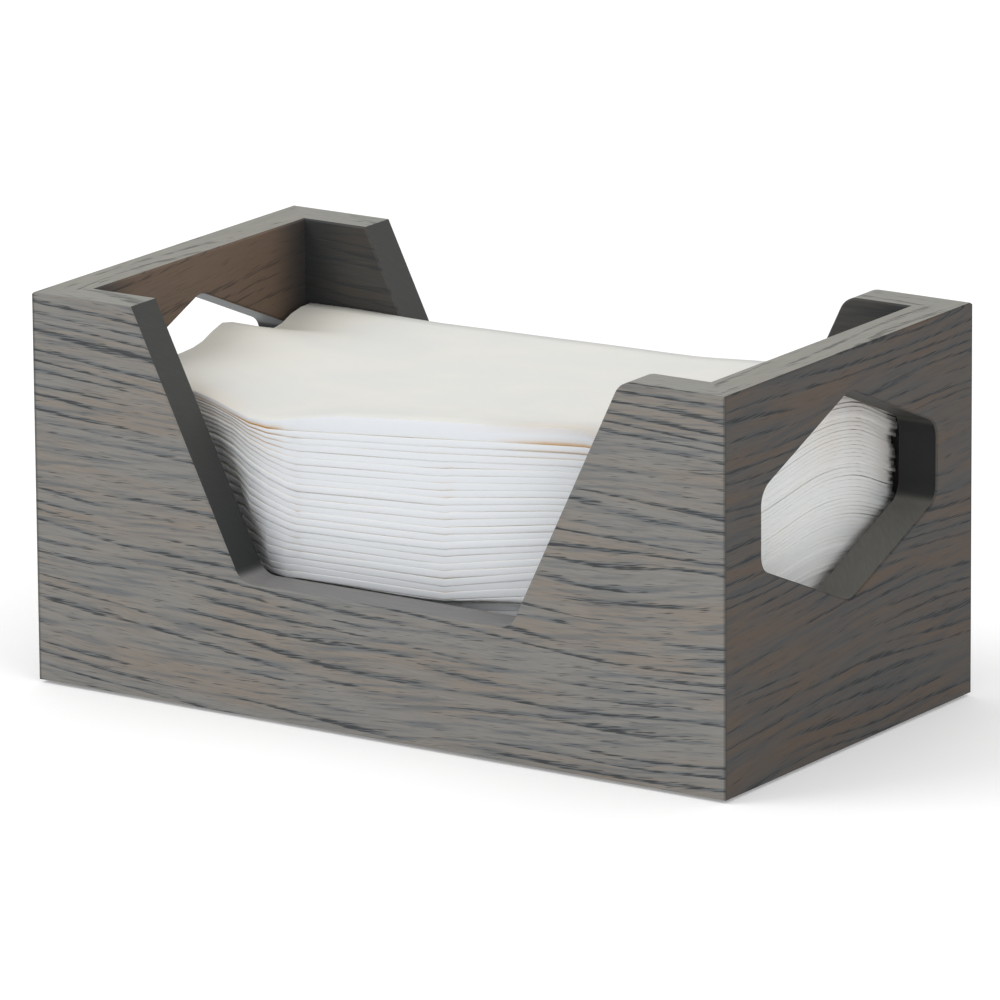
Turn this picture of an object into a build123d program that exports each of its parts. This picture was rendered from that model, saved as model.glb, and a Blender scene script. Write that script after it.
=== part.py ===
"""Open wooden napkin caddy with a stack of folded paper napkins.

Four mitred boards stand round a bottom panel that sits in their grooves. The two long boards
have a deep tapered notch, the two end boards a six-sided hand hole, and four rubber bumpers
carry the caddy. Units are millimetres. X runs along the long boards, Y from front to back and
Z up. The origin is on the surface that the caddy stands on, in the middle of its footprint.
"""

from build123d import *
import os

os.makedirs("parts", exist_ok=True)

# Napkins, folded to an eighth
napkin_length = 200.0
napkin_width = 100.0
napkin_count = 37
napkin_thickness = 2.0  # one folded napkin, pressed in the stack
napkin_gap = 0.1  # air between two napkins, and under the lowest
napkin_fold_bevel = 0.6  # takes the corners off the folded edge that faces the front
stack_sag = 0.5  # the top napkin's middle lies this much lower than its -X end
stack_rise = 5.0  # and its +X end this much higher

# Well that the napkins lie in
end_clearance = 4.5  # from a napkin's ends to the end boards, if the stack lay centred
side_clearance = 2.5  # from a napkin's sides to the long boards
left_end_gap = 2.5  # from the stack, which is pushed towards -X, to the left board

# Boards
board = 13.0  # thickness of the four boards
wall_height = 115.0  # from a board's lower edge to the rim
edge_ease = 0.5  # small chamfer that takes the sharpness off the boards' edges

# Notch in the two long boards
notch_top_width = 166.0  # across the mouth, between the sharp corners
notch_bottom_width = 92.0  # across the flat, between the sharp corners
notch_floor = 38.8  # height of the flat above the board's lower edge
notch_corner_radius = 6.35  # the cutter's radius, in both lower corners
notch_shoulder_radius = 6.35  # round on the shoulder at the +X side, the other stays crisp

# Hand hole in the two end boards
hole_width = 93.0  # along Y, between the two upright sides
hole_height = 61.0  # from the lower point to the upper one, before rounding
hole_upright = 22.4  # length of each upright side, before rounding
hole_margin = 11.7  # from the upper point, before rounding, to the rim
hole_corner_radius = 6.35

# Bottom panel, let into a groove that runs round all four boards
bottom_thickness = 6.0
bottom_recess = 4.0  # from the boards' lower edges up to the panel
groove_depth = 4.0
groove_end_clearance = 0.3  # from the panel's edge to the end of the groove
groove_top_clearance = 0.2  # above the panel

# Bumpers under the bottom panel
bumper_diameter = 12.0
bumper_tip_diameter = 10.6
bumper_drop = 1.0  # how far they reach below the boards' lower edges
bumper_bevel = 0.6
bumper_inset = 16.0  # from the boards' inner faces to a bumper's middle

# Sizes that follow from the ones above
well_length = napkin_length + 2 * end_clearance
well_width = napkin_width + 2 * side_clearance
body_length = well_length + 2 * board  # outside, along X
body_width = well_width + 2 * board  # outside, along Y
stack_shift = left_end_gap - end_clearance
wall_foot = bumper_drop
bottom_low = wall_foot + bottom_recess
bottom_top = bottom_low + bottom_thickness
hole_centre = wall_foot + wall_height - hole_margin - hole_height / 2


def upright(plan_sketch):
    """A prism over a plan, from the boards' lower edges to the rim."""
    return extrude(Plane.XY.offset(wall_foot) * plan_sketch, wall_height)


def long_board_plan():
    """Plan of the front board, mitred at both ends."""
    half_length = body_length / 2
    outer = -body_width / 2
    inner = outer + board
    return make_face(
        Polyline(
            (-half_length, outer),
            (half_length, outer),
            (half_length - board, inner),
            (-half_length + board, inner),
            close=True,
        )
    )


def end_board_plan():
    """Plan of the board at the +X end, mitred at both ends."""
    half_width = body_width / 2
    outer = body_length / 2
    inner = outer - board
    return make_face(
        Polyline(
            (outer, -half_width),
            (outer, half_width),
            (inner, half_width - board),
            (inner, -half_width + board),
            close=True,
        )
    )


def notch_outline():
    """The front board seen from the front, with X across and Y for height above its lower edge."""
    half_length = body_length / 2
    half_top = notch_top_width / 2
    half_bottom = notch_bottom_width / 2
    outline = Polyline(
        (-half_length, 0),
        (half_length, 0),
        (half_length, wall_height),
        (half_top, wall_height),
        (half_bottom, notch_floor),
        (-half_bottom, notch_floor),
        (-half_top, wall_height),
        (-half_length, wall_height),
        close=True,
    )
    face = make_face(outline)
    lower_corners = [v for v in face.vertices() if abs(v.Y - notch_floor) < 1e-6]
    face = fillet(lower_corners, notch_corner_radius)
    shoulder = face.vertices().sort_by_distance((half_top, wall_height))[0]
    return fillet(shoulder, notch_shoulder_radius)


def hand_hole_outline():
    """Six-sided hand hole, with a point at the top and bottom and rounded corners."""
    half_width = hole_width / 2
    half_height = hole_height / 2
    half_upright = hole_upright / 2
    outline = Polyline(
        (0, half_height),
        (-half_width, half_upright),
        (-half_width, -half_upright),
        (0, -half_height),
        (half_width, -half_upright),
        (half_width, half_upright),
        close=True,
    )
    face = make_face(outline)
    return fillet(face.vertices(), hole_corner_radius)


def bottom_groove():
    """Ring that the boards' grooves are cut with, a little deeper and higher than the panel."""
    length = well_length + 2 * groove_depth
    width = well_width + 2 * groove_depth
    height = bottom_thickness + groove_top_clearance
    middle = bottom_low + height / 2
    return Pos(0, 0, middle) * Box(length, width, height)


def on_mitre(point):
    """Whether a point lies in one of the four planes where the boards' mitred ends meet."""
    from_end = body_length / 2 - abs(point.X)
    from_side = body_width / 2 - abs(point.Y)
    return abs(from_end - from_side) < 1e-4


def ease(solid, wide_faces):
    """Chamfer the edges of a board's wide faces, except its mitres, lower edge and groove."""
    picked = []
    for face in wide_faces:
        for edge in face.edges():
            middle = edge.position_at(0.5)
            if middle.Z > bottom_top + groove_top_clearance + edge_ease and not on_mitre(middle):
                picked.append(edge)
    return chamfer(picked, edge_ease)


def front_board():
    """Long board with its tapered notch, mitred, grooved and eased."""
    front = Plane.XZ.offset(body_width / 2)
    solid = extrude(front * (Pos(0, wall_foot) * notch_outline()), -board)
    solid = (solid & upright(long_board_plan())) - bottom_groove()
    by_depth = solid.faces().filter_by(Axis.Y).sort_by(Axis.Y)
    inner_above_groove = by_depth.sort_by(Axis.Z)[-1]
    return ease(solid, [by_depth[0], inner_above_groove])


def right_board():
    """End board with its hand hole, mitred, grooved and eased."""
    hole_plane = Plane(origin=(body_length / 2, 0, hole_centre), x_dir=(0, 1, 0), z_dir=(1, 0, 0))
    hole = extrude(hole_plane * hand_hole_outline(), -board)
    solid = upright(end_board_plan()) - hole - bottom_groove()
    by_depth = solid.faces().filter_by(Axis.X).sort_by(Axis.X)
    inner_above_groove = by_depth.sort_by(Axis.Z)[-1]
    return ease(solid, [by_depth[-1], inner_above_groove])


def bottom_panel():
    """Flat panel whose edges reach into the grooves and rest on their lower faces."""
    reach = groove_depth - groove_end_clearance
    length = well_length + 2 * reach
    width = well_width + 2 * reach
    return Pos(0, 0, bottom_low + bottom_thickness / 2) * Box(length, width, bottom_thickness)


def bumper():
    """Round rubber foot, slightly tapered, with a bevelled lower rim, standing on the origin."""
    tip = bumper_tip_diameter / 2
    outline = Polyline((0, 0), (tip, 0), (bumper_diameter / 2, bottom_low), (0, bottom_low), close=True)
    profile = make_face(outline)
    lower_rim = profile.vertices().sort_by_distance((tip, 0))[0]
    return revolve(Plane.XZ * chamfer(lower_rim, bumper_bevel), Axis.Z)


def stack_line(height, share):
    """A line along the stack, which sags in the middle and rises to +X by a share of the top's."""
    half = napkin_length / 2
    start = (-half, height)
    end = (half, height + stack_rise * share)
    if share == 0:
        return Line(start, end)
    return ThreePointArc(start, (0, height - stack_sag * share), end)


def napkin(index):
    """One folded napkin of the stack, counted from the bottom, with its folded edge in front."""
    half = napkin_length / 2
    low = bottom_top + napkin_gap + index * (napkin_thickness + napkin_gap)
    lower = stack_line(low, index / napkin_count)
    upper = stack_line(low + napkin_thickness, (index + 1) / napkin_count)
    ends = [Line(lower @ 0, upper @ 0), Line(lower @ 1, upper @ 1)]
    profile = make_face([lower, upper] + ends)
    front = Plane.XZ.offset(napkin_width / 2)
    slab = extrude(front * (Pos(stack_shift, 0) * profile), -napkin_width)
    folded_edge = []
    for edge in slab.edges():
        if edge.position_at(0.5).Y < -napkin_width / 4 and edge.length > half:
            folded_edge.append(edge)
    return chamfer(folded_edge, napkin_fold_bevel)


def save(node, solid):
    """Write one piece to its own file."""
    export_step(solid, f"parts/{node}.step")


front = front_board()
right = right_board()
save("front_board", front)
save("back_board", mirror(front, about=Plane.XZ))
save("right_board", right)
save("left_board", mirror(right, about=Plane.YZ))
save("bottom_panel", bottom_panel())

foot_x = well_length / 2 - bumper_inset
foot_y = well_width / 2 - bumper_inset
places = {
    "front_left": (-foot_x, -foot_y),
    "front_right": (foot_x, -foot_y),
    "back_left": (-foot_x, foot_y),
    "back_right": (foot_x, foot_y),
}
for corner, (x, y) in places.items():
    save(f"bumper_{corner}", Pos(x, y, 0) * bumper())

for index in range(napkin_count):
    top = index == napkin_count - 1
    save("top_napkin" if top else f"napkin_{index + 1:02d}", napkin(index))
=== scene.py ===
"""Looks for the open oak caddy and its stack of folded paper napkins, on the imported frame.

Metres, in the row's frame: X along the long boards, Y from front to back, Z up, and the origin
on the surface that the caddy stands on. The oak's figure and the stack are worked out in mm.
"""

import math
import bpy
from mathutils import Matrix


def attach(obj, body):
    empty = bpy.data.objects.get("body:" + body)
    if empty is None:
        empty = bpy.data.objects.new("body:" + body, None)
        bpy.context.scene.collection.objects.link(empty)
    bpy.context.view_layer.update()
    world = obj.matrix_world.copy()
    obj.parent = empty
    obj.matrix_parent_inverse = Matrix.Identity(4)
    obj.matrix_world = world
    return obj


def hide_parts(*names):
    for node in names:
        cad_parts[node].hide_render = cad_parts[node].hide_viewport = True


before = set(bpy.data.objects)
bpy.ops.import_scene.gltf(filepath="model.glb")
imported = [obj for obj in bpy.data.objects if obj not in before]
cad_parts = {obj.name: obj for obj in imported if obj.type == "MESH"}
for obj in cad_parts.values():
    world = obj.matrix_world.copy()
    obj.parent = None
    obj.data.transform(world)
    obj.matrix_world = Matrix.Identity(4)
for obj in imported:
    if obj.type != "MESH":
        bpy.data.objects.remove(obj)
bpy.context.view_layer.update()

from types import SimpleNamespace

import bpy
import numpy as np
from mathutils import Matrix, Vector

MM = 0.001


# ---------------------------------------------------------------- colours and nodes


def linear(hex_colour):
    """Scene-linear colour with alpha from an sRGB hex colour."""
    channels = []
    for start in (1, 3, 5):
        value = int(hex_colour[start:start + 2], 16) / 255
        channels.append(value / 12.92 if value <= 0.04045 else ((value + 0.055) / 1.055) ** 2.4)
    return (*channels, 1.0)


def add(tree, kind, inputs=None, **settings):
    """Add one node, with its settings, and link or set its inputs."""
    node = tree.nodes.new(kind)
    for name, value in settings.items():
        setattr(node, name, value)
    for key, value in (inputs or {}).items():
        if isinstance(value, bpy.types.NodeSocket):
            tree.links.new(value, node.inputs[key])
        else:
            node.inputs[key].default_value = value
    return node


def math_node(tree, operation, first, second=0.0):
    """Value of one arithmetic step."""
    return add(tree, "ShaderNodeMath", {0: first, 1: second}, operation=operation).outputs[0]


def plus(tree, first, second):
    """Sum of two values."""
    return math_node(tree, "ADD", first, second)


def minus(tree, first, second):
    """Difference of two values."""
    return math_node(tree, "SUBTRACT", first, second)


def times(tree, first, second):
    """Product of two values."""
    return math_node(tree, "MULTIPLY", first, second)


def unsigned(tree, value):
    """A value without its sign."""
    return math_node(tree, "ABSOLUTE", value)


def parts(tree, vector):
    """X, Y and Z of a vector."""
    return add(tree, "ShaderNodeSeparateXYZ", {0: vector}).outputs


def joined(tree, x, y, z):
    """Vector from its X, Y and Z."""
    return add(tree, "ShaderNodeCombineXYZ", {0: x, 1: y, 2: z}).outputs[0]


def mapped(tree, vector, **inputs):
    """Vector after a mapping, with inputs such as Scale or Rotation."""
    return add(tree, "ShaderNodeMapping", {"Vector": vector, **inputs}).outputs[0]


def stretched_noise(tree, vector, sizes, detail=2.0, roughness=0.5, offset=(0, 0, 0)):
    """Noise whose features measure about sizes along X, Y and Z, in the vector's unit."""
    scaled = mapped(tree, vector, Location=offset, Scale=tuple(1 / size for size in sizes))
    noise = add(
        tree,
        "ShaderNodeTexNoise",
        {"Vector": scaled, "Scale": 1.0, "Detail": detail, "Roughness": roughness},
    )
    return noise.outputs[0]


def between(tree, value, low, high, to_low=0.0, to_high=1.0):
    """Smooth step of a value from low to high."""
    node = add(
        tree,
        "ShaderNodeMapRange",
        {"Value": value, "From Min": low, "From Max": high, "To Min": to_low, "To Max": to_high},
        interpolation_type="SMOOTHSTEP",
    )
    return node.outputs[0]


def mix(tree, factor, first, second, blend="MIX"):
    """Mixed colour."""
    node = add(tree, "ShaderNodeMix", data_type="RGBA", blend_type=blend)
    for index, value in ((0, factor), (6, first), (7, second)):
        if isinstance(value, bpy.types.NodeSocket):
            tree.links.new(value, node.inputs[index])
        else:
            node.inputs[index].default_value = value
    return node.outputs[2]


def new_material(name):
    """Empty material with its output, tree and surface shader."""
    material = bpy.data.materials.new(name)
    material.use_nodes = True
    tree = material.node_tree
    tree.nodes.clear()
    shader = add(tree, "ShaderNodeBsdfPrincipled")
    add(tree, "ShaderNodeOutputMaterial", {"Surface": shader.outputs[0]})
    return material, tree, shader


def add_relief(tree, shader, height, distance, strength):
    """Bump a surface by a height that stands for distance, in metres, and return its normal."""
    bump = add(tree, "ShaderNodeBump", {"Height": height, "Distance": distance, "Strength": strength})
    tree.links.new(bump.outputs[0], shader.inputs["Normal"])
    return bump.outputs[0]


# ---------------------------------------------------------------- wood

# Features of the oak, mm: their sizes along the grain, across it and into the board
WANDER_SIZE = (130, 46, 70)  # swings of the rings to either side
DRIFT_SIZE = (150, 15, 40)  # changes in the rings' spacing
BREAK_SIZE = (60, 9, 14)  # stretches where a row of vessels thins out
PATCH_SIZE = (55, 7.5, 20)  # warmer patches of the ground
FIBRE_SIZE = (11, 0.4, 4)

RIFT = 0.55  # how far the rings lean as they go into the board
VESSEL_SLANT = 0.09  # slope of the vessels against their ring
OAK_ROUGHNESS = 0.56
PIT_ROUGHNESS = 0.18  # added in the open pores
CORNER_SHADE = "#2f3132"  # inner faces, in the corners of the well
MITRE_LINE = "#2a2a29"

RIM_FADE = (110 * MM, 112 * MM)  # heights over which the rim's tone comes in
# Painted shade: below these heights sawn end grain darkens towards the bottom.
SAWN_FADE = (40 * MM, 100 * MM)  # heights over which sawn end grain changes tone
CORNER_FADE = 20 * MM  # length over which inner faces darken towards a corner

# Sizes in the figure are mm. Three lengths are metres: inner faces lie within inner_limit of the
# caddy's middle, corner is where the painted shade of the inner corners is darkest, and half is the
# board's half length. Faces that look down have a tone for the board at the minus side and one for
# the plus: on the end boards, painted light and painted shade. The inner tone is painted shade on the
# long boards and painted light on the end boards.
LONG_TONES = {
    "ground": "#7c7a76",
    "warm": "#7e776f",
    "halo": "#5e6265",
    "halo_share": 0.8,
    "halo_size": (26, 1.3, 8),
    "pore": "#333638",
    "pore_share": 0.90,
    "vessel_size": (6.0, 0.31, 2.5),
    "ring_width": 3.7,
    "ring_drift": 4.0,
    # inner: painted shade on the long boards' inner faces
    "inner": "#1a1816",
    "inner_limit": 54 * MM,
    "corner": 104 * MM,
    "half": 117.5 * MM,
    # rim: a painted sheen on the top faces
    "rim": "#8c8b85",
    "cut": "#7c7a79",
    # end_grain: the stain that end grain drinks, with painted shade; end_grain_low_shade: painted
    # shade low down
    "end_grain": "#3e3f3d",
    "end_grain_low_shade": "#262726",
    "under_minus_painted_light": "#7c7a79",
    "under_plus_painted_shade": "#7c7a79",
}
# The end boards are stained browner, and their tones are also darker than the long boards' as painted
# shade.
END_TONES = {
    "ground": "#45413d",
    "warm": "#4d4137",
    "halo": "#36393c",
    "halo_share": 0.7,
    "halo_size": (34, 2.0, 10),
    "pore": "#24272a",
    "pore_share": 0.75,
    "vessel_size": (8.0, 0.36, 2.5),
    "ring_width": 3.8,
    "ring_drift": 3.4,
    # inner: painted light, in a browner tone, on the end boards' inner faces
    "inner": "#6c5848",
    "inner_limit": 106 * MM,
    "corner": 52 * MM,
    "half": 65.5 * MM,
    # rim: a painted sheen on the top faces
    "rim": "#8c8a82",
    "cut": "#605f5a",
    # end_grain: the stain that end grain drinks, with painted shade
    "end_grain": "#212222",
    "end_grain_low_shade": "#212222",
    # painted light under the left board's faces that look down, painted shade under the right board's
    "under_minus_painted_light": "#7b7e80",
    "under_plus_painted_shade": "#3d3c39",
}
PANEL_TONES = dict(END_TONES, inner="#4f4b46")


def oak_figure(tree, board_mm, tones, wander, ring_slant, ring_curve):
    """Masks of the oak's pores, of the halo round them, of warm patches and of fibres."""
    along, across, into = parts(tree, board_mm)

    # The rings run at a slant that changes along the board, and wander to either side.
    swing = minus(tree, stretched_noise(tree, board_mm, WANDER_SIZE, detail=1.0), 0.5)
    bend = times(tree, swing, 2 * wander)
    slope = plus(tree, times(tree, along, ring_curve), ring_slant)
    lean = times(tree, along, slope)
    straight = plus(tree, across, times(tree, into, RIFT))
    ring = plus(tree, straight, plus(tree, bend, lean))
    rings = joined(tree, along, ring, into)

    # Each ring starts with a row of vessels and thins out after it.
    drift = minus(tree, stretched_noise(tree, rings, DRIFT_SIZE, offset=(8, 3, 2)), 0.5)
    count = math_node(tree, "DIVIDE", ring, tones["ring_width"])
    phase = plus(tree, count, times(tree, drift, tones["ring_drift"]))
    after_start = math_node(tree, "FRACT", phase)
    rise = between(tree, after_start, 0.0, 0.10)
    fall = between(tree, after_start, 0.14, 0.50, 1.0, 0.0)
    thinning = stretched_noise(tree, rings, BREAK_SIZE, offset=(4, 6, 8))
    breaks = between(tree, thinning, 0.36, 0.58, 0.1, 1.0)
    crowd = times(tree, times(tree, rise, fall), breaks)

    # The vessels run a little across the rings, so a ring shows as a chain of short dashes.
    stepped = minus(tree, ring, times(tree, along, VESSEL_SLANT))
    dashes = joined(tree, along, stepped, into)
    vessels = stretched_noise(tree, dashes, tones["vessel_size"], detail=0.6, offset=(11, 2, 5))
    stain = stretched_noise(tree, dashes, tones["halo_size"], offset=(3, 7, 1))
    warm = stretched_noise(tree, rings, PATCH_SIZE, offset=(5, 1, 9))
    return SimpleNamespace(
        pores=between(tree, plus(tree, vessels, times(tree, crowd, 0.30)), 0.63, 0.86),
        halo=between(tree, plus(tree, stain, times(tree, crowd, 0.26)), 0.46, 0.74),
        patches=between(tree, warm, 0.40, 0.66),
        fibres=stretched_noise(tree, rings, FIBRE_SIZE, roughness=0.6, offset=(1, 4, 2)),
    )


def board_faces(tree, place, grain, depth, tones):
    """Masks of a board's faces, from which way they look and where they lie."""
    position = parts(tree, place.outputs["Object"])
    facing = parts(tree, place.outputs["Normal"])
    height, up = position[2], facing[2]
    from_centre = unsigned(tree, position[grain])
    from_middle = unsigned(tree, position[depth])
    inner, corner, half = tones["inner_limit"], tones["corner"], tones["half"]
    return SimpleNamespace(
        wide=between(tree, unsigned(tree, facing[depth]), 0.60, 0.70),
        rim=times(tree, between(tree, up, 0.60, 0.90), between(tree, height, *RIM_FADE)),
        end_grain=between(tree, unsigned(tree, facing[grain]), 0.55, 0.90),
        above_low_shade=between(tree, height, *SAWN_FADE),
        under=between(tree, times(tree, up, -1.0), 0.5, 0.8),
        plus_side=between(tree, position[depth], -50 * MM, 50 * MM),
        inside=between(tree, from_middle, inner, inner + 2 * MM, 1.0, 0.0),
        cornered=between(tree, from_centre, corner - CORNER_FADE, corner, 0.0, 0.85),
        mitre=between(tree, from_centre, half - 1.0 * MM, half - 0.2 * MM, 0.0, 0.55),
    )


def oak_colour(tree, figure, faces, tones):
    """Colour of the stained oak between its pores."""
    tone = {name: linear(value) for name, value in tones.items() if isinstance(value, str)}
    wood = mix(tree, figure.patches, tone["ground"], tone["warm"])
    wood = mix(tree, times(tree, figure.halo, tones["halo_share"]), wood, tone["halo"])
    # Painted shade darkens the long boards' inner faces; painted light makes the end boards' inner
    # faces lighter.
    wood = mix(tree, times(tree, faces.inside, 0.75), wood, tone["inner"])
    wood = mix(tree, times(tree, faces.inside, faces.cornered), wood, linear(CORNER_SHADE))

    # Only wide faces carry the figure. The rim is paler with a painted sheen, sawn long grain is
    # plain,
    # and sawn end grain is darkest: the stain it drinks, with painted shade that deepens low down.
    # Faces that look down take painted light on one end board and painted shade on the other.
    cut = mix(tree, faces.rim, tone["cut"], tone["rim"])
    # Painted shade darkens sawn end grain low down.
    sawn = mix(tree, faces.above_low_shade, tone["end_grain_low_shade"], tone["end_grain"])
    cut = mix(tree, faces.end_grain, cut, sawn)
    # Painted light on the undersides of one end board, painted shade on those of the other.
    below = mix(tree, faces.plus_side, tone["under_minus_painted_light"], tone["under_plus_painted_shade"])
    cut = mix(tree, faces.under, cut, below)
    wood = mix(tree, faces.wide, cut, wood)
    wood = mix(tree, 1.0, wood, between(tree, figure.fibres, 0.25, 0.75, 0.91, 1.07), "MULTIPLY")

    # The stain sits darker along the sharp mitred corners.
    return mix(tree, faces.mitre, wood, linear(MITRE_LINE))


def stained_oak(name, grain, across, depth, tones, wander=5.0, ring_slant=0.0, ring_curve=0.0):
    """Flat-sawn oak with a grey stain that gathers in its open pores.

    Fine dashes, the cut vessels, give the eye the scale. They gather in the bands of early wood,
    a little under 4 mm apart, and the stain leaves a blue-grey halo round them. Grain, across and
    depth are the numbers of the axes that the board's grain, width and thickness lie along.
    """
    material, tree, shader = new_material(name)
    place = add(tree, "ShaderNodeTexCoord")
    axes = parts(tree, place.outputs["Object"])
    board = joined(tree, axes[grain], axes[across], axes[depth])
    board_mm = mapped(tree, board, Scale=(1000, 1000, 1000))
    figure = oak_figure(tree, board_mm, tones, wander, ring_slant, ring_curve)
    faces = board_faces(tree, place, grain, depth, tones)
    wood = oak_colour(tree, figure, faces, tones)

    # Pores are open on wide faces, less so on the rim and not at all on the other cut faces.
    shown = math_node(tree, "MAXIMUM", faces.wide, times(tree, faces.rim, 0.7))
    pits = times(tree, figure.pores, shown)
    stained = times(tree, pits, tones["pore_share"])
    stained = times(tree, stained, minus(tree, 1.0, times(tree, faces.inside, 0.4)))
    tree.links.new(mix(tree, stained, wood, linear(tones["pore"])), shader.inputs["Base Color"])

    roughness = between(tree, pits, 0, 1, OAK_ROUGHNESS, OAK_ROUGHNESS + PIT_ROUGHNESS)
    tree.links.new(roughness, shader.inputs["Roughness"])
    relief = minus(tree, times(tree, figure.fibres, 0.15), pits)
    add_relief(tree, shader, relief, distance=0.12 * MM, strength=0.5)
    shader.inputs["Specular IOR Level"].default_value = 0.3
    return material


# ---------------------------------------------------------------- rubber and tissue

SHEET = 400.0  # side of the opened napkin, mm
CREPE_SIZE = (0.5, 2.2, 1)  # mm of the sheet
CLOUD_SIZE = (26 * MM, 18 * MM, 9 * MM)
RIB_ANGLE = math.radians(38)
RIB_SCALE = 0.225  # sets the wave texture's ribs 1.4 mm apart
BORDER_FADE = (6, 44)  # mm from the sheet's edge over which the ribs fade out
SEEN_THROUGH = 0.08  # share of the light that comes through the tissue


def matte_rubber():
    """Black moulded rubber; a fine matte grain takes the gloss off."""
    material, tree, shader = new_material("moulded_rubber")
    place = add(tree, "ShaderNodeTexCoord").outputs["Object"]
    grain_size = 0.6 * MM
    grain = stretched_noise(tree, place, (grain_size, grain_size, grain_size))
    black = mix(tree, grain, linear("#1b1b1c"), linear("#262627"))
    tree.links.new(black, shader.inputs["Base Color"])
    tree.links.new(between(tree, grain, 0.3, 0.7, 0.62, 0.78), shader.inputs["Roughness"])
    add_relief(tree, shader, grain, distance=0.04 * MM, strength=0.4)
    return material


def paper_tissue():
    """Bleached two-ply tissue; crepe wrinkles and a pressed border of slanted ribs give it away."""
    material, tree, shader = new_material("creped_paper_tissue")
    coordinates = add(tree, "ShaderNodeTexCoord")

    # In the opened sheet's own millimetres, the crepe runs across it and the ribs along its ends.
    sheet_mm = mapped(tree, coordinates.outputs["UV"], Scale=(SHEET, SHEET, 1))
    crepe = stretched_noise(tree, sheet_mm, CREPE_SIZE, detail=3.0, roughness=0.6)
    turned = mapped(tree, sheet_mm, Rotation=(0, 0, RIB_ANGLE))
    wave = {"Vector": turned, "Scale": RIB_SCALE, "Distortion": 0.4, "Detail": 1.0}
    ribs = add(tree, "ShaderNodeTexWave", wave).outputs[1]
    from_fold = unsigned(tree, minus(tree, parts(tree, sheet_mm)[0], SHEET / 2))
    border = between(tree, minus(tree, SHEET / 2, from_fold), *BORDER_FADE, 1.0, 0.0)

    clouds = stretched_noise(tree, coordinates.outputs["Object"], CLOUD_SIZE)
    paper = mix(tree, between(tree, clouds, 0.35, 0.65), linear("#e8e8e5"), linear("#ecebe5"))

    # Painted light: folds that face the front or the right end are tinted cooler than the flat paper.
    facing = parts(tree, coordinates.outputs["Normal"])
    to_end = times(tree, facing[0], 0.86)
    to_front = times(tree, facing[1], -1.0)
    folds = between(tree, math_node(tree, "MAXIMUM", to_end, to_front), 0.75, 0.96)
    paper = mix(tree, folds, paper, linear("#e2e5e9"))
    # Painted warm shade towards the napkins' left ends, over the ribbed border.
    paper = mix(tree, times(tree, border, 0.5), paper, linear("#e3dfcf"))
    # Painted warm shade from a mesh attribute: in gaps under the loose upper napkins, at creases and
    # in hand-hole streaks.
    painted_warm_shade = add(tree, "ShaderNodeAttribute", attribute_name="painted_warm_shade").outputs["Fac"]
    paper = mix(tree, painted_warm_shade, paper, linear("#c4923f"))
    tree.links.new(paper, shader.inputs["Base Color"])
    tree.links.new(between(tree, crepe, 0.3, 0.7, 0.78, 0.92), shader.inputs["Roughness"])
    shader.inputs["Specular IOR Level"].default_value = 0.25
    pressed = times(tree, times(tree, ribs, border), 0.9)
    normal = add_relief(tree, shader, plus(tree, crepe, pressed), distance=0.10 * MM, strength=0.35)

    through = add(tree, "ShaderNodeBsdfTranslucent", {"Color": paper, "Normal": normal})
    surfaces = {0: SEEN_THROUGH, 1: shader.outputs[0], 2: through.outputs[0]}
    both = add(tree, "ShaderNodeMixShader", surfaces)
    output = next(node for node in tree.nodes if node.type == "OUTPUT_MATERIAL")
    tree.links.new(both.outputs[0], output.inputs["Surface"])
    return material


def pale_floor():
    """Seamless pale paper that glows a little, like a lit shooting table."""
    material, tree, shader = new_material("seamless_paper")
    shader.inputs["Base Color"].default_value = linear("#f4f4f4")
    shader.inputs["Roughness"].default_value = 0.95
    shader.inputs["Specular IOR Level"].default_value = 0.1
    shader.inputs["Emission Color"].default_value = linear("#ffffff")
    shader.inputs["Emission Strength"].default_value = 0.2
    return material


# ---------------------------------------------------------------- the stack of napkins

# All lengths here are mm.
NAPKINS = 37
TOP_NAPKIN = NAPKINS - 1
MIDDLE_NAPKIN = 16  # lies a little above the notch's flat, where the stack's slope changes
HALF, QUARTER = SHEET / 2, SHEET / 4
LEFT, RIGHT = -102.0, 101.5  # ends of the folded napkins
FRONT, BACK = -50.0, 51.6  # their sides
STACK_FOOT = 11.0  # height of the panel's upper face
# Layer that each part of the sheet ends up in: halves along the rows, quarters along the columns.
LAYERS = np.array([[0, 7, 6, 1], [3, 4, 5, 2]], float)
LAST_LAYER = 7
LAYER_PITCH = 0.28  # from one nested fold to the next, seen from above
BULGE = 0.13  # how round a pressed fold still is, 1 for a half circle
FOLD_ZONE = 1.6  # paper on either side of a fold's middle that the turn takes
CREASES = (-38.0, 14.0)  # x of two upright creases across the folded edges
CREASE_REACH = 1.2  # from a crease to the extra samples beside it


def ramp(value, low, high):
    """Straight step from low to high, for arrays."""
    return np.clip((value - low) / (high - low), 0, 1)


def smooth(value, low, high):
    """Smooth step from low to high, for arrays."""
    share = ramp(value, low, high)
    return share * share * (3 - 2 * share)


def hill(value, middle, width):
    """Rounded hill, 1 high at its middle, for arrays."""
    return np.exp(-((value - middle) / width) ** 2)


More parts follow.
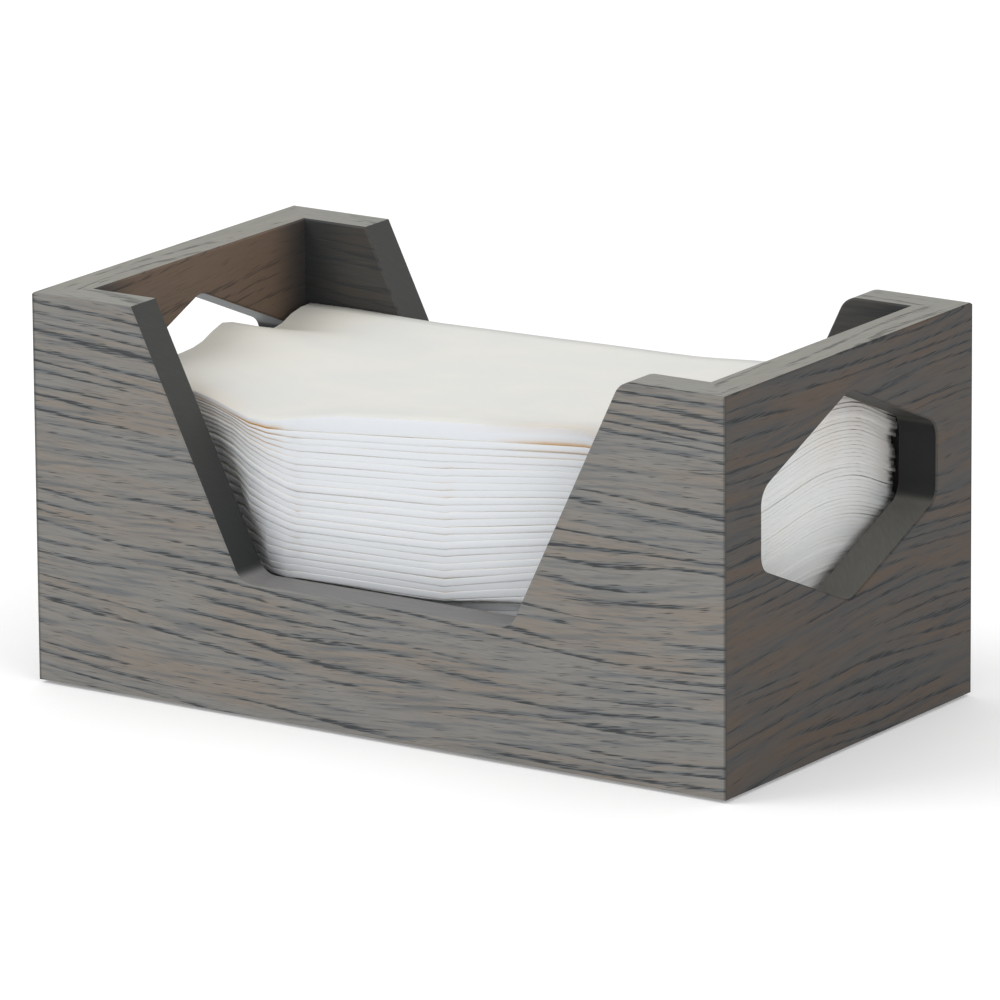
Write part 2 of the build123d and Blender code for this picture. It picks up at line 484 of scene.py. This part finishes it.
def stack_height(x, y, level):
    """Height at a place in the stack, below which level napkins lie.

    The pressed stack is lower in front at the left, where its edges curl up towards the end
    board, and thicker at the folded right end, which arches between its two sides.
    """
    left_of_crease = CREASES[0] - x
    curl = 10 * (1 - np.exp(-(np.clip(left_of_crease, 0, None) / 32) ** 3))
    back_sag = 1.1 * smooth(x, -90, -50) * (1 - smooth(x, 30, 62))
    front_top = 85.4 + 0.087 * x + curl
    front_middle = 43.4 + 0.015 * x + 0.19 * np.clip(x - CREASES[1], 0, 38)
    back_top = 90.4 + 0.018 * x - back_sag
    back_middle = STACK_FOOT + (back_top - STACK_FOOT) * MIDDLE_NAPKIN / TOP_NAPKIN

    to_back = smooth(y, FRONT, BACK + 2)
    top = front_top + (back_top - front_top) * to_back
    middle = front_middle + (back_middle - front_middle) * to_back
    lower_share = ramp(level, 0, MIDDLE_NAPKIN)
    upper_share = ramp(level, MIDDLE_NAPKIN, TOP_NAPKIN)
    height = STACK_FOOT + (middle - STACK_FOOT) * lower_share + (top - middle) * upper_share

    # Halfway up, the left front corners fan upwards from the crease.
    fan = 0.34 * np.clip(left_of_crease, 0, 24) * smooth(-y, 0, 45)
    height += fan * 4 * upper_share * (1 - upper_share)

    # The right end arches between its sides, and droops at its back corner.
    arch = 8 * (1 - hill(y, 16, 32)) * smooth(x, 58, RIGHT)
    droop = 5 * smooth(y, 28, 56) * smooth(x, 72, RIGHT)
    height -= arch * ramp(level, 0, 20)
    height -= droop * ramp(level, 16, 32)

    # The upper napkins' left ends lift near the middle of the hand hole and dip behind it.
    lift = 4.2 * hill(y, 6.7, 8.8) * hill(x, LEFT, 22)
    dip = 3.7 * hill(y, 32.7, 8) * hill(x, LEFT, 25)
    height += (lift - dip) * ramp(level, 20, 36) ** 2
    return height


def fold_line(folds, plain_steps, turn_steps=6):
    """Samples along the sheet's side, closer together in the turns of its folds."""
    edges = [0.0] + [fold + side * FOLD_ZONE for fold in folds for side in (-1, 1)] + [SHEET]
    samples = []
    for number, (start, end) in enumerate(zip(edges[:-1], edges[1:])):
        steps = turn_steps if number % 2 else plain_steps
        samples.extend(np.linspace(start, end, steps, endpoint=False))
    return np.array(samples + [SHEET])


def sheet_places():
    """Places u and v on the opened sheet, closer together in its folds and creases."""
    u_line = fold_line((HALF,), plain_steps=30)
    for crease in CREASES:
        from_left = crease - LEFT
        for place in (from_left, SHEET - from_left):
            u_line = np.append(u_line, (place - CREASE_REACH, place, place + CREASE_REACH))
    v_line = fold_line((QUARTER, 2 * QUARTER, 3 * QUARTER), plain_steps=20)
    return np.meshgrid(np.sort(u_line), v_line, indexing="ij")


def turn(position, fold):
    """Share of the way round a fold, and how far out of its middle the paper bulges."""
    angle = np.clip((position - fold) / FOLD_ZONE, -1, 1) * math.pi / 2
    return (1 + np.sin(angle)) / 2, np.cos(angle)


def folded_sheet():
    """Points of the opened sheet, with each one's layer and its way round the nearest folds."""
    u, v = sheet_places()
    half, end_bulge = turn(u, HALF)
    fold = np.clip(((v + QUARTER / 2) // QUARTER).astype(int), 1, 3)
    passed, side_bulge = turn(v, fold * QUARTER)
    here = []
    steps = []
    for row in LAYERS:
        here.append(row[fold - 1] * (1 - passed) + row[fold] * passed)
        steps.append(row[fold] - row[fold - 1])
    return SimpleNamespace(
        u=u,
        v=v,
        fold=fold,
        layer=here[0] * (1 - half) + here[1] * half,
        end_reach=np.abs(here[1] - here[0]) / 2,
        end_bulge=end_bulge,
        side_reach=np.abs(steps[0] * (1 - half) + steps[1] * half) / 2,
        side_bulge=side_bulge,
    )


def napkin_traits(random):
    """What tells one napkin from the next, drawn in a fixed order."""
    return SimpleNamespace(
        roundness=BULGE * random.uniform(0.4, 1.5),
        end_roundness=BULGE * random.uniform(0.3, 1.4),
        shift_x=random.uniform(-0.35, 0.35),
        shift_y=random.uniform(-0.2, 0.2),
        yaw=math.radians(random.uniform(-0.15, 0.15)),
        back_gap=random.uniform(0.0, 0.4),
        corner_cut=random.uniform(0.0, 2.0),
        thickness=random.uniform(0.98, 1.0),
        wave_starts=random.uniform(0, 6.28, 3),
        crease_depths=random.uniform(0.1, 0.5, 2),
        crease_marks=random.uniform(-0.2, 0.4, 2),
    )


def folded_plan(sheet, index, own):
    """X and Y of the points: nested turns at the right end and along the front and back edges."""
    end_roundness = own.end_roundness * (1 - 0.6 * smooth(index, 21, 28))
    end_turn = sheet.end_reach * LAYER_PITCH * end_roundness * sheet.end_bulge
    from_end = np.clip(np.abs(sheet.u - HALF) - FOLD_ZONE, 0, None)
    span = (RIGHT - LEFT - 1.5 * LAYER_PITCH) / (HALF - FOLD_ZONE)
    x = RIGHT - 1.5 * LAYER_PITCH + end_turn - from_end * span

    near_front = sheet.fold != 2
    inward = np.where(near_front, 1.0, -1.0)
    fold_y = np.where(near_front, FRONT + 3.5 * LAYER_PITCH, BACK - 0.5 * LAYER_PITCH)
    side_turn = inward * sheet.side_reach * LAYER_PITCH * own.roundness * sheet.side_bulge
    from_fold = np.clip(np.abs(sheet.v - sheet.fold * QUARTER) - FOLD_ZONE, 0, None)
    width = BACK - FRONT - 4 * LAYER_PITCH
    run = inward * from_fold * width / (QUARTER - 2 * FOLD_ZONE)
    y = np.clip(fold_y - side_turn + run, FRONT, BACK - own.back_gap)

    # The front edge draws back where it curls up, and the right end is rounded at its back corner.
    y = y + 3.5 * smooth(-x, 48, 68) * smooth(-y, 0, 50)
    corner = np.clip((y - 39) / 12, 0, None) ** 2 * smooth(x, 60, RIGHT)
    x = x - corner * own.corner_cut
    return x + own.shift_x - y * own.yaw, y + own.shift_y + x * own.yaw


def napkins_below(layer, index, x, y, own):
    """Number of napkins below each point, with the share of its own that lies below it."""
    thickness = own.thickness - 0.35 * smooth(-x, 44, 66) * smooth(-y, 20, 50)
    # At the right end the outer layers press the two folded halves together.
    upper = np.where(layer >= 4, (layer - LAST_LAYER) / 3, 7 - 2 * layer)
    pressed = np.where(layer <= 3, layer / 3, upper)
    layer_there = layer + 0.42 * pressed * smooth(x, 92, 100)
    return index + 0.5 + (layer_there / LAST_LAYER - 0.5) * thickness


def drawn_back(x, y, z, level):
    """Y of the points, with the fronts of low napkins further back.

    They leave a dark line over the notch's flat, and another beside the notch's left edge.
    """
    line_height = 37.9 + 3.1 * smooth(x, 5, 40)
    recess = 5.0 - 2.6 * smooth(x, 0, 40)
    y = y + recess * (1 - smooth(z, line_height, line_height + 1.0)) * smooth(-y, 20, 48)
    notch_edge = -46 - 0.49 * (z - 40)
    beside = smooth(notch_edge + 2 - x, 0, 10)
    return y + 5 * beside * smooth(-y, 10, 50) * smooth(TOP_NAPKIN - level, 2, 15)


def rumpled(x, y, z, level, index, own):
    """Y and Z of the points, with slight waves and two upright creases in the folded edge."""
    first, second, third = own.wave_starts
    wave = np.sin(x / 19 + first) + 0.6 * np.sin(x / 8.3 + second) + 0.5 * np.sin(y / 13 + third)
    z = z + 0.07 * wave * min(1.0, index / 4)
    for crease, depth in zip(CREASES, own.crease_depths):
        y = y + depth * hill(x, crease, 1.0) * smooth(-y, 40, 48)
        step = 0.16 * np.tanh((x - crease) / 0.9) * smooth(-y, 20, 48)
        z = z + step * (1 - smooth(level, 31, 35))
    return y, z


def top_puff(x, y):
    """How much thicker than a pressed one the loose top napkin is."""
    puff = 2.4 + (0.9 + 1.9 * smooth(x, -45, -20)) * smooth(-y, 20, 50) * (1 - smooth(x, 55, 75))
    return puff * (1 - 0.55 * smooth(-x, 36, 60) * smooth(-y, 25, 50))


def painted_warm_shade_share(layer, index, x, y, own):
    """Share of a painted warm shade: under the loose upper napkins, along the top napkin's front
    edge, at creases and in streaks in the hand hole.
    """
    low_front = smooth(-y, 38, 44) * (1 - smooth(layer, 0.0, 2.4))
    below_top = TOP_NAPKIN - index
    at_right = smooth(x, 25, 50) * max(0.0, 1 - below_top / 3.5)
    at_left = smooth(-x, 38, 52) * max(0.0, 1 - below_top / 8)
    painted_warm_shade = low_front * np.minimum(0.85 * at_right + 1.4 * at_left, 1)
    for crease, mark in zip(CREASES, own.crease_marks):
        painted_warm_shade = painted_warm_shade + max(0.0, mark) * low_front * hill(x, crease, 2.5)
    streaks = smooth(x, 97, 100) * smooth(y, -6, 12) * (0.7 + 0.3 * np.sin(0.8 * y))
    painted_warm_shade = painted_warm_shade + 0.13 * smooth(index, 24, 31) * streaks
    if index == TOP_NAPKIN:
        sides = smooth(-x, 50, 70) + smooth(x, 15, 45)
        painted_warm_shade += 0.16 * smooth(-y, 34, 49) * smooth(layer, 4, 6) * sides
        painted_warm_shade += 0.4 * smooth(-y, 45, 49) * (1 - smooth(layer, 2, 5)) * smooth(-x, 40, 55)
    return painted_warm_shade


def sheet_mesh(name, sheet, points_mm, painted_warm_shade):
    """Mesh of a folded sheet, with its opened places as UV and its painted warm shade as an
    attribute.
    """
    rows, columns = sheet.u.shape
    numbers = np.arange(rows * columns).reshape(rows, columns)
    corners = (numbers[:-1, :-1], numbers[1:, :-1], numbers[1:, 1:], numbers[:-1, 1:])
    quads = np.stack(corners, axis=-1).reshape(-1, 4)
    points = np.stack(points_mm, axis=-1).reshape(-1, 3) * MM
    mesh = bpy.data.meshes.new(name)
    mesh.from_pydata(points.tolist(), [], quads.tolist())
    mesh.polygons.foreach_set("use_smooth", [True] * len(mesh.polygons))

    uv_layer = mesh.uv_layers.new(name="sheet")
    sheet_uv = np.stack((sheet.u, sheet.v), axis=-1).reshape(-1, 2) / SHEET
    loop_points = np.empty(len(mesh.loops), dtype=int)
    mesh.loops.foreach_get("vertex_index", loop_points)
    uv_layer.data.foreach_set("uv", sheet_uv[loop_points].ravel())

    attribute = mesh.attributes.new("painted_warm_shade", "FLOAT", "POINT")
    attribute.data.foreach_set("value", painted_warm_shade.ravel().astype(np.float32))
    return mesh


def folded_napkin(name, index, sheet, tissue, own):
    """One square sheet folded to an eighth, bent as its place in the stack bends it."""
    x, y = folded_plan(sheet, index, own)
    level = napkins_below(sheet.layer, index, x, y, own)
    z = stack_height(x, y, np.minimum(level, TOP_NAPKIN))
    y = drawn_back(x, y, z, level)
    y, z = rumpled(x, y, z, level, index, own)
    if index == TOP_NAPKIN:
        z = z + top_puff(x, y) * sheet.layer / LAST_LAYER

    mesh = sheet_mesh(name, sheet, (x, y, z), painted_warm_shade_share(sheet.layer, index, x, y, own))
    mesh.materials.append(tissue)
    napkin = bpy.data.objects.new(name, mesh)
    bpy.context.scene.collection.objects.link(napkin)
    return napkin


def napkin_stack(tissue):
    """All the napkins, each in place of its plain solid."""
    random = np.random.default_rng(7)
    sheet = folded_sheet()
    for index in range(NAPKINS):
        is_top = index == TOP_NAPKIN
        node = "top_napkin" if is_top else f"napkin_{index + 1:02d}"
        name = f"folded_{node}"
        napkin = folded_napkin(name, index, sheet, tissue, napkin_traits(random))
        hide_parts(node)
        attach(napkin, "top_napkin_body" if is_top else "napkin_stack")


# ---------------------------------------------------------------- dressing the CAD nodes


def give(material, *nodes):
    """Use a material on the CAD pieces of these nodes."""
    for node in nodes:
        piece = bpy.data.objects[node]
        for slot in piece.material_slots:
            slot.material = material


def dress():
    """Materials for the boards, the bottom panel and the bumpers."""
    x, y, z = 0, 1, 2
    slants = {"ring_slant": 0.03, "ring_curve": -0.00025}
    long_oak = stained_oak("stained_oak_long_boards", x, z, y, LONG_TONES, **slants)
    give(long_oak, "front_board", "back_board")
    end_oak = stained_oak("stained_oak_end_boards_shaded", y, z, x, END_TONES, wander=8.0)
    give(end_oak, "left_board", "right_board")
    give(stained_oak("stained_oak_panel", x, y, z, PANEL_TONES), "bottom_panel")
    places = ("front_left", "front_right", "back_left", "back_right")
    give(matte_rubber(), *(f"bumper_{place}" for place in places))


# ---------------------------------------------------------------- floor, light and camera


def studio():
    """Pale floor, key light from the front left, fill light from the right, white surround."""
    bpy.ops.object.select_all(action="DESELECT")
    bpy.ops.mesh.primitive_plane_add(size=9.0, location=(0, 0, 0))
    floor = bpy.context.object
    floor.name = "floor"
    floor.data.materials.append(pale_floor())

    world = bpy.data.worlds.new("white_surround")
    world.use_nodes = True
    background = world.node_tree.nodes["Background"]
    background.inputs["Color"].default_value = linear("#ffffff")
    background.inputs["Strength"].default_value = 0.8
    bpy.context.scene.world = world

    softbox("fill_light", place=(1.9, -0.9, 0.8), size=1.0, watts=7.5)
    softbox("key_light", place=(-1.2, -1.2, 1.8), size=1.2, watts=16.0)


def softbox(name, place, size, watts):
    """Square area light that faces the middle of the caddy."""
    light = bpy.data.lights.new(name, "AREA")
    light.size = size
    light.energy = watts
    lamp = bpy.data.objects.new(name, light)
    bpy.context.scene.collection.objects.link(lamp)
    caddy_middle = Vector((0, 0, 0.06))
    lamp.location = Vector(place)
    lamp.rotation_euler = (Vector(place) - caddy_middle).to_track_quat("Z", "Y").to_euler()


def camera():
    """Camera of the photograph: seen from the front right, a little from above, far away."""
    azimuth = math.radians(33.812)  # from straight in front, towards the right
    elevation = math.radians(14.627)
    roll = math.radians(0.4547)
    distance = 2.8468
    back = Vector(
        (
            math.sin(azimuth) * math.cos(elevation),
            -math.cos(azimuth) * math.cos(elevation),
            math.sin(elevation),
        )
    )
    right = Vector((math.cos(azimuth), math.sin(azimuth), 0))
    up = back.cross(right)
    caddy_middle = Vector((0, 0, 0.0585))
    aim_left = 0.57 * MM
    aim_down = 2.2 * MM
    aim = caddy_middle - aim_left * right - aim_down * up
    rolled_right = math.cos(roll) * right - math.sin(roll) * up
    rolled_up = math.sin(roll) * right + math.cos(roll) * up
    turned = Matrix((rolled_right, rolled_up, back)).transposed().to_4x4()

    lens = bpy.data.cameras.new("camera")
    lens.sensor_width = 36
    lens.lens = 357.5
    lens.clip_end = 50
    lens.dof.use_dof = False
    eye = bpy.data.objects.new("camera", lens)
    eye.matrix_world = Matrix.Translation(aim + distance * back) @ turned
    bpy.context.scene.collection.objects.link(eye)
    bpy.context.scene.camera = eye


dress()
napkin_stack(paper_tissue())
studio()
camera()
bpy.context.scene.view_settings.view_transform = "Standard"

bpy.context.view_layer.update()
